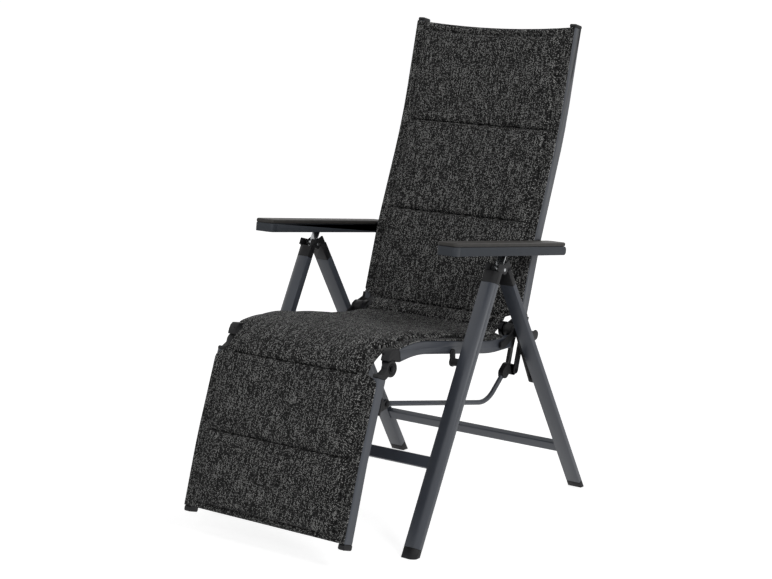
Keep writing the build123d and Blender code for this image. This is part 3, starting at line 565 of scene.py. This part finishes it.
class SlingShape:
    """The sling's line, its seams and its outline across the chair."""

    def __init__(self):
        self.line = sling_line()
        self.normals = facing(self.line)
        for _ in range(NORMAL_PASSES):
            smooth = [self.normals[0]]
            for a, b, c in zip(self.normals, self.normals[1:], self.normals[2:]):
                smooth.append((a + b * 2 + c).normalized())
            self.normals = smooth + [self.normals[-1]]
        self.length = sum((b - a).length for a, b in zip(self.line, self.line[1:]))
        self.crease = self.nearest(from_joint(*CREASE))
        self.nose = self.nearest(from_joint(*NOSE))
        self.seams = [self.at_height(z) for z in BACK_SEAMS]
        self.seams += [self.nearest(from_joint(*place)) for place in HINGE_SEAMS]
        self.seams += [self.rest_height(z) for z in REST_SEAMS]
        self.necks = [(self.crease, REAR_NECK_REACH, sizes().rear_neck),
                      (self.nose, FRONT_NECK_REACH, sizes().front_neck)]

    def nearest(self, point):
        distances = [(p - point).length for p in self.line]
        return distances.index(min(distances)) / (len(self.line) - 1) * self.length

    def at_height(self, z):
        """Distance down the back to a height."""
        for i, p in enumerate(self.line):
            if p.y <= z:
                return i / (len(self.line) - 1) * self.length
        return 0.0

    def rest_height(self, z):
        """Distance to a height on the leg rest."""
        for i in range(len(self.line) - 1, 0, -1):
            if self.line[i].y >= z:
                return i / (len(self.line) - 1) * self.length
        return self.length

    def place(self, s):
        """Point and normal at a distance along the line."""
        x = max(0.0, min(1.0, s / self.length)) * (len(self.line) - 1)
        i = min(int(x), len(self.line) - 2)
        share = x - i
        normal = self.normals[i].lerp(self.normals[i + 1], share).normalized()
        return self.line[i].lerp(self.line[i + 1], share), normal

    def half_width(self, s):
        """Half the sling's width: full over the tubes, drawn in beside the hinges."""
        width = sizes().half_width
        for centre, reach, depth in self.necks:
            away = abs(s - centre) / reach
            if away < 1:
                share = min(1.0, (1 - away) * NECK_STEEPNESS)
                width -= depth * share * (0.5 - 0.5 * cos(pi * share))
        return width

    def channel(self, s):
        """Height of the padding, 0 to 1, from the seams across the sling."""
        first, last = self.seams[0], self.seams[-1]
        # The free ends are turned over into a roll
        if s <= first:
            return END_ROLL * sin(pi * s / first)
        if s >= last:
            return END_ROLL * sin(pi * (self.length - s) / (self.length - last))
        for low, high in zip(self.seams, self.seams[1:]):
            if low <= s <= high:
                edge = min(s - low, high - s)
                room = (high - low) / 2
                steep = STEEP_SHARE * swell(edge, min(STEEP_REACH, room))
                broad = BROAD_SHARE * swell(edge, min(BROAD_REACH, room))
                return (steep + broad) * min(1, 0.4 + room / (50 * MM))
        return 0.0

    def height(self, s, x):
        """Height of the sling's face above its back at a place."""
        size = sizes()
        inside = self.half_width(s) - size.side_hem - abs(x)
        side = 0.5 * swell(inside, 12 * MM) + 0.5 * swell(inside, 60 * MM)
        return size.hem_thickness + size.pad_height * self.channel(s) * side

    def pucker(self, s, x):
        """Small folds that run away from the seams and the side hems."""
        size = sizes()
        near = min(abs(s - m) for m in self.seams)
        inner = self.half_width(s) - size.side_hem
        fade = exp(-near / (22 * MM))
        side = exp(-abs(inner - abs(x)) / (20 * MM)) if abs(x) < inner else 0.0
        # Folds that run away from a seam are 17 mm wide, from a hem 20 mm, and broad ones 11 cm
        cross = noise.noise(Vector((x / (17 * MM), s / (60 * MM), 3.1))) * fade
        long_way = noise.noise(Vector((s / (20 * MM), x / (70 * MM), 9.7))) * side
        broad = noise.noise(Vector((x / (110 * MM), s / (90 * MM), 5.3))) * 0.9
        inside = max(0.0, min(1.0, (inner - abs(x)) / (20 * MM))) * min(1.0, near / (6 * MM))
        return size.pucker * (cross * 1.6 + long_way * 1.3 + broad) * inside

    def sag(self, s, x):
        """How far the sling hangs at a place: less beside the hinges and at its foot."""
        half = self.half_width(s)
        reach = min(1.0, min(abs(s - m) for m in (self.crease, self.nose)) / (80 * MM))
        foot = 1.0 if s < self.length - 50 * MM else 0.4
        return sizes().sag * (1 - (x / half) ** 2) * reach * foot


shape_cache = {}


def shape():
    if "sling" not in shape_cache:
        shape_cache["sling"] = SlingShape()
    return shape_cache["sling"]


# The free top edge: how far it hangs and how far down that reaches
TOP_DROOP, TOP_DROOP_REACH = 11 * MM, 90 * MM
# Columns from the middle to a hem, and how far in the outer edge is rounded
HALF_COLUMNS = 30
EDGE_ROLL = 6 * MM
# Rows beside a seam, and the least distance between rows
SEAM_ROWS = [row * MM for row in (-7, -3, -1.2, 0, 1.2, 3, 7)]
ROW_GAP = 0.8 * MM


def top_droop(s, x, half):
    """The free edge at the top hangs a little between the tubes."""
    return TOP_DROOP * (1 - (x / half) ** 2) * max(0.0, 1 - s / TOP_DROOP_REACH)


def columns(half):
    """Places across the sling, closer together beside the side hems."""
    hem = sizes().side_hem
    inner = half - hem
    middle = [inner * sin(pi / 2 * k / HALF_COLUMNS) for k in range(HALF_COLUMNS)]
    right = middle + [inner, inner + hem * 0.35, inner + hem * 0.7, half - 2 * MM, half]
    return [-x for x in reversed(right[1:])] + right


def rows_between(start, end):
    """Places down the sling, closer together beside the seams."""
    count = max(2, round((end - start) / sizes().row_step))
    even = {start + (end - start) * k / count for k in range(count + 1)}
    beside = {m + row for m in shape().seams for row in SEAM_ROWS if start < m + row < end}
    rows = sorted(even | beside)
    kept = [rows[0]]
    for s in rows[1:]:
        if s - kept[-1] > ROW_GAP or s == rows[-1]:
            kept.append(s)
    return kept


def made_piece(name, build, finish):
    """The object of a finished build, with its faces turned outwards."""
    bmesh.ops.recalc_face_normals(build, faces=build.faces)
    mesh = bpy.data.meshes.new(name)
    build.to_mesh(mesh)
    build.free()
    piece = bpy.data.objects.new(name, mesh)
    bpy.context.scene.collection.objects.link(piece)
    pick(piece)
    mesh.materials.append(finish_for(finish))
    return piece


def sling_row(build, s, uv_of):
    """The face's and the back's points across the sling at a distance along it."""
    form, hem = shape(), sizes().hem_thickness
    half = form.half_width(s)
    place, normal = form.place(s)
    along, _ = form.place(s + LINE_STEP)
    run = (along - place).normalized()
    front_row, back_row = [], []
    for x in columns(half):
        sink = form.sag(s, x)
        edge = max(0.0, (abs(x) - (half - EDGE_ROLL)) / EDGE_ROLL)
        rise = form.height(s, x) + form.pucker(s, x) - sink - hem * 0.35 * edge ** 2
        under = -sink - 1.2 * MM * form.channel(s) * (1 - (x / half) ** 2)
        droop = top_droop(s, x, half)
        for level, target in ((rise, front_row), (under, back_row)):
            point = place + normal * level + run * droop
            vert = build.verts.new((x, point.x, point.y))
            uv_of[vert] = (x, s + droop)
            target.append(vert)
    return front_row, back_row


def sling_piece(name, start, end):
    """One length of the sling: face, back and edges of a closed, padded strip."""
    build = bmesh.new()
    uv_of = {}
    fronts, backs = zip(*[sling_row(build, s, uv_of) for s in rows_between(start, end)])
    last = len(fronts[0]) - 1
    for front, back, next_front, next_back in zip(fronts, backs, fronts[1:], backs[1:]):
        for j in range(last):
            build.faces.new((front[j], front[j + 1], next_front[j + 1], next_front[j]))
            build.faces.new((next_back[j], next_back[j + 1], back[j + 1], back[j]))
        build.faces.new((back[0], next_back[0], next_front[0], front[0]))
        build.faces.new((front[last], next_front[last], next_back[last], back[last]))
    for j in range(last):
        build.faces.new((fronts[0][j + 1], fronts[0][j], backs[0][j], backs[0][j + 1]))
        build.faces.new((backs[-1][j + 1], backs[-1][j], fronts[-1][j], fronts[-1][j + 1]))
    layer = build.loops.layers.uv.new("Weave")
    for face in build.faces:
        for loop in face.loops:
            loop[layer].uv = uv_of[loop.vert]
    piece = made_piece(name, build, "sling")
    bpy.ops.object.shade_smooth_by_angle(angle=radians(60))
    return piece


TANGENT_STEP = 3 * MM


def tangent(s):
    """Point of the sling at a distance and its direction."""
    here, _ = shape().place(s)
    ahead, _ = shape().place(s + TANGENT_STEP)
    run = (ahead - here).normalized()
    return Vector((0, here.x, here.y)), Vector((0, run.x, run.y))


def bend_piece(piece, at):
    """Bake the place of a piece that ends at a cut into its mesh; the cut, given by its distance,
    only has its point and direction worked out.
    """
    point, run = tangent(at)
    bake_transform(piece)


def bend_from(piece, at):
    """Bake the place of a piece that starts at a cut into its mesh; the cut, given by its distance,
    only has its point and direction worked out.
    """
    point, run = tangent(at)
    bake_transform(piece)


# A stitch: rings along it, as shares of its half length and half width
STITCH_RINGS = ((-1, 0.35), (-0.55, 0.9), (0, 1), (0.55, 0.9), (1, 0.35))
STITCH_SIDES = 6


def stitch_row(name, places):
    """Stitches, each a low rounded dash along its run; places are (point, run, normal)."""
    half_long, half_wide = sizes().stitch_length / 2, sizes().thread / 2
    build = bmesh.new()
    for point, run, normal in places:
        side = normal.cross(run).normalized()
        rings = []
        for share, fat in STITCH_RINGS:
            centre = point + run * (half_long * share)
            ring = []
            for k in range(STITCH_SIDES):
                a = 2 * pi * k / STITCH_SIDES
                offset = (side * (cos(a) * half_wide * fat)
                          + normal * (sin(a) * half_wide * fat * 0.8))
                ring.append(build.verts.new(centre + offset + normal * (half_wide * 0.2)))
            rings.append(ring)
        for first, second in zip(rings, rings[1:]):
            for k in range(STITCH_SIDES):
                after = (k + 1) % STITCH_SIDES
                build.faces.new((first[k], first[after], second[after], second[k]))
        build.faces.new(list(reversed(rings[0])))
        build.faces.new(rings[-1])
    piece = made_piece(name, build, "thread")
    bpy.ops.object.shade_smooth()
    return piece


def face_point(s, x):
    """Point on the sling's face, the direction down the sling and the face's normal."""
    form = shape()
    place, normal = form.place(s)
    ahead, _ = form.place(s + LINE_STEP)
    run = (ahead - place).normalized()
    level = form.height(s, x) + form.pucker(s, x) - form.sag(s, x)
    point = place + normal * level + run * top_droop(s, x, form.half_width(s))
    return Vector((x, point.x, point.y)), Vector((0, run.x, run.y)), Vector((0, normal.x, normal.y))


def cross_stitches(s):
    """Stitches across the chair along a seam."""
    inner = shape().half_width(s) - sizes().side_hem
    count = int(2 * inner / sizes().stitch_step)
    out = []
    for k in range(count + 1):
        point, _, normal = face_point(s, -inner + 2 * inner * k / count)
        out.append((point, Vector((1, 0, 0)), normal))
    return out


def side_stitches(start, end):
    """Stitches down both side hems."""
    count = int((end - start) / sizes().stitch_step)
    out = []
    for k in range(count + 1):
        s = start + (end - start) * k / count
        inner = shape().half_width(s) - sizes().side_hem
        out += [face_point(s, -inner), face_point(s, inner)]
    return out


# Operators

class ARMCHAIR_OT_legs(Operator):
    """Finish the crossed legs, their crossbars and the folding links"""
    bl_idname = "armchair.legs"
    bl_label = "Legs and crossbars"

    def execute(self, context):
        size = sizes()
        for side in ("left", "right"):
            finished_copy("front_leg_" + side, size.metal_edge)
            finished_copy("rear_leg_" + side, size.metal_edge)
        for node in ("front_crossbar", "rear_crossbar"):
            finished_copy(node, 0)
        finished_copy("folding_links", size.metal_edge)
        return {"FINISHED"}


class ARMCHAIR_OT_tubes(Operator):
    """Finish the side tubes, cross tubes and lifting rods"""
    bl_idname = "armchair.tubes"
    bl_label = "Side tubes and rods"

    def execute(self, context):
        for part in ("seat_tube", "back_tube", "rest_tube"):
            for side in ("left", "right"):
                finished_copy(part + "_" + side, 0)
        for node in ("seat_front_cross_tube", "seat_rear_cross_tube", "back_lower_cross_tube",
                     "back_upper_cross_tube", "rest_cross_tube", "lift_rods"):
            finished_copy(node, 0)
        return {"FINISHED"}


class ARMCHAIR_OT_fittings(Operator):
    """Finish the moulded feet, caps, knuckles, hubs, cranks and brackets"""
    bl_idname = "armchair.fittings"
    bl_label = "Moulded fittings"

    def execute(self, context):
        size = sizes()
        for node in ("front_foot_caps", "rear_foot_caps", "front_hinge_caps", "rear_hinge_caps",
                     "seat_pivot_brackets", "seat_rear_hubs", "recline_stops", "crank_arms",
                     "rod_lugs"):
            finished_copy(node, size.moulded_edge)
        for node in ("seat_front_knuckles", "rest_knuckles", "back_top_caps", "rest_bottom_caps",
                     "rod_ends"):
            finished_copy(node, size.soft_edge, 3)
        for node in ("recline_bushes", "crank_bushes", "armrest_bushes", "rest_bushes"):
            finished_copy(node, 0)
        return {"FINISHED"}


class ARMCHAIR_OT_steel(Operator):
    """Finish the pins, bolts and ratchet tongues"""
    bl_idname = "armchair.steel"
    bl_label = "Pins, bolts and tongues"

    def execute(self, context):
        size = sizes()
        for node in ("top_hinge_pins", "seat_pivot_bolts", "link_bolts", "recline_pins",
                     "crank_pins", "armrest_pins", "rest_pins", "rod_lug_bolts", "ratchet_tongues"):
            finished_copy(node, size.metal_edge)
        return {"FINISHED"}


class ARMCHAIR_OT_armrests(Operator):
    """Finish the armrest bodies, plates, caps and racks"""
    bl_idname = "armchair.armrests"
    bl_label = "Armrests"

    def execute(self, context):
        size = sizes()
        for side in ("left", "right"):
            for part in ("armrest_body", "armrest_front_cap"):
                finished_copy(part + "_" + side, size.moulded_edge)
            finished_copy("armrest_plate_" + side, 0)
            finished_copy("armrest_rack_" + side, size.metal_edge)
        return {"FINISHED"}


class ARMCHAIR_OT_sling(Operator):
    """Make the padded sling in four lengths, cut at the hinges"""
    bl_idname = "armchair.sling"
    bl_label = "Padded sling"

    def execute(self, context):
        form = shape()
        middle = form.seams[6]
        back = sling_piece("sling_back", 0.0, form.crease)
        seat_rear = sling_piece("sling_seat_rear", form.crease, middle)
        seat_front = sling_piece("sling_seat_front", middle, form.nose)
        rest = sling_piece("sling_leg_rest", form.nose, form.length)
        bend_from(back, form.crease)
        bend_piece(seat_rear, form.crease)
        bend_piece(seat_front, form.nose)
        bend_from(rest, form.nose)
        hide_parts("back_pad")
        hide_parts("seat_pad")
        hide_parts("seat_pad")
        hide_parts("rest_pad")
        return {"FINISHED"}


class ARMCHAIR_OT_stitching(Operator):
    """Sew the seams and side hems of the sling"""
    bl_idname = "armchair.stitching"
    bl_label = "Stitching"

    def execute(self, context):
        form = shape()
        crease, nose, seams = form.crease, form.nose, form.seams

        def across(chosen):
            return [place for s in chosen for place in cross_stitches(s)]

        back = across(seams[:3]) + side_stitches(seams[0], seams[3]) + across(seams[3:4])
        rest = across(seams[7:]) + side_stitches(seams[7], seams[9])
        # The seat's side hems are sewn clear of the bends; the middle seam lies just past the cut
        seat_rear = across(seams[5:6]) + side_stitches(crease + 50 * MM, seams[6])
        seat_front = across([seams[6] + 0.5 * MM]) + side_stitches(seams[6], nose - 60 * MM)
        back = stitch_row("stitching_back", back)
        bend_from(back, crease)
        seat_rear = stitch_row("stitching_seat_rear", seat_rear)
        bend_piece(seat_rear, crease)
        seat_front = stitch_row("stitching_seat_front", seat_front)
        bend_piece(seat_front, nose)
        rest = stitch_row("stitching_leg_rest", rest)
        bend_from(rest, nose)
        return {"FINISHED"}


# The camera that was fitted to the picture: place in metres, turn and dip in degrees, lens in mm
CAMERA_PLACE = (2.845, -3.702, 1.4715)
CAMERA_TURN, CAMERA_DIP = 37.6, 11.25
CAMERA_LENS, CAMERA_FILM = 91.72, 36
# Lamps: name, place, aim, width in metres, power in watts
LAMPS = (("key_lamp", (4.4, -1.5, 3.4), (0, 0, 0.5), 1.6, 76),
         ("front_lamp", (1.3, -4.0, 3.4), (0, 0.3, 0.9), 1.2, 14),
         ("rear_lamp", (0.6, 4.2, 3.4), (0, 0, 0.6), 2.4, 30))
FLOOR_SIZE = 60
FLOOR_DROP = 0.5 * MM
FLOOR_LIFT = 0.8
SKY_LEVEL = 0.24


def aimed(name, data, place, direction):
    """An object of a lamp or a camera that looks in a direction."""
    holder = bpy.data.objects.new(name, data)
    holder.location = place
    holder.rotation_mode = "QUATERNION"
    holder.rotation_quaternion = direction.to_track_quat("-Z", "Y")
    bpy.context.scene.collection.objects.link(holder)
    return holder


def seen_directly(tree):
    """1 where the camera, a mirror or a clear piece sees the surface, and 0 in its light."""
    rays = add_node(tree, "ShaderNodeLightPath").outputs
    seen = add_node(tree, "ShaderNodeMath", {"operation": "MAXIMUM"}, i0=rays["Is Camera Ray"],
                    i1=rays["Is Glossy Ray"]).outputs[0]
    return add_node(tree, "ShaderNodeMath", {"operation": "MAXIMUM"}, i0=seen,
                    i1=rays["Is Transmission Ray"]).outputs[0]


class ARMCHAIR_OT_studio(Operator):
    """Make the floor, the backdrop, the lamps and the camera"""
    bl_idname = "armchair.studio"
    bl_label = "Studio"

    def execute(self, context):
        scene = context.scene
        scene.view_settings.view_transform = "Standard"
        self.make_camera(scene)
        self.make_floor()
        self.make_sky(scene)
        for name, place, aim, width, power in LAMPS:
            lamp = bpy.data.lights.new(name, "AREA")
            lamp.shape = "DISK"
            lamp.size = width
            lamp.energy = power
            aimed(name, lamp, place, Vector(aim) - Vector(place))
        return {"FINISHED"}

    def make_camera(self, scene):
        turn, dip = radians(CAMERA_TURN), radians(CAMERA_DIP)
        look = Vector((-sin(turn) * cos(dip), cos(turn) * cos(dip), -sin(dip)))
        data = bpy.data.cameras.new("photo_camera")
        data.lens = CAMERA_LENS
        data.sensor_width = CAMERA_FILM
        data.clip_end = 100
        scene.camera = aimed("photo_camera", data, CAMERA_PLACE, look)

    def make_floor(self):
        """Studio paper, lifted to white where it is seen, so that it keeps the shadow."""
        deselect()
        bpy.ops.mesh.primitive_plane_add(size=FLOOR_SIZE, location=(0, 0, -FLOOR_DROP))
        ground = bpy.context.object
        ground.name = "studio_floor"
        material, tree, shader = new_material("studio_paper")
        lift = add_node(tree, "ShaderNodeMath", {"operation": "MULTIPLY"}, i0=seen_directly(tree),
                        i1=FLOOR_LIFT).outputs[0]
        feed(tree, shader, Base_Color=(*colours().floor, 1), Roughness=0.9,
             Emission_Strength=lift, Emission_Color=(1, 1, 1, 1))
        ground.data.materials.append(material)

    def make_sky(self, scene):
        """Soft white light from all round, plain white where it is seen."""
        world = bpy.data.worlds.new("studio_world")
        scene.world = world
        world.use_nodes = True
        sky = world.node_tree
        plain = sky.nodes["Background"]
        feed(sky, plain, Color=(1, 1, 1, 1), Strength=SKY_LEVEL)
        white = add_node(sky, "ShaderNodeBackground", Color=(1, 1, 1, 1), Strength=1.0).outputs[0]
        mix = add_node(sky, "ShaderNodeMixShader", Fac=seen_directly(sky), i1=plain.outputs[0],
                       i2=white)
        feed(sky, sky.nodes["World Output"], Surface=mix.outputs[0])


class ARMCHAIR_PT_panel(Panel):
    """Armchair pieces and sizes"""
    bl_label = "Reclining armchair"
    bl_idname = "ARMCHAIR_PT_panel"
    bl_space_type = "VIEW_3D"
    bl_region_type = "UI"
    bl_category = "Armchair"

    def draw(self, context):
        for operator in OPERATORS:
            self.layout.operator(operator.bl_idname)
        for group in (context.scene.armchair_sizes, context.scene.armchair_colours):
            box = self.layout.box()
            for name in group.bl_rna.properties.keys():
                if name not in ("rna_type", "name"):
                    box.prop(group, name)


OPERATORS = (ARMCHAIR_OT_studio, ARMCHAIR_OT_legs, ARMCHAIR_OT_tubes, ARMCHAIR_OT_fittings,
             ARMCHAIR_OT_steel, ARMCHAIR_OT_armrests, ARMCHAIR_OT_sling, ARMCHAIR_OT_stitching)
CLASSES = (ArmchairSizes, ArmchairColours, *OPERATORS, ARMCHAIR_PT_panel)


def register():
    for cls in CLASSES:
        bpy.utils.register_class(cls)
    bpy.types.Scene.armchair_sizes = PointerProperty(type=ArmchairSizes)
    bpy.types.Scene.armchair_colours = PointerProperty(type=ArmchairColours)


def unregister():
    del bpy.types.Scene.armchair_colours
    del bpy.types.Scene.armchair_sizes
    for cls in reversed(CLASSES):
        bpy.utils.unregister_class(cls)


def main():
    register()
    for operator in OPERATORS:
        group, name = operator.bl_idname.split(".")
        getattr(getattr(bpy.ops, group), name)()


if __name__ == "__main__":
    main()
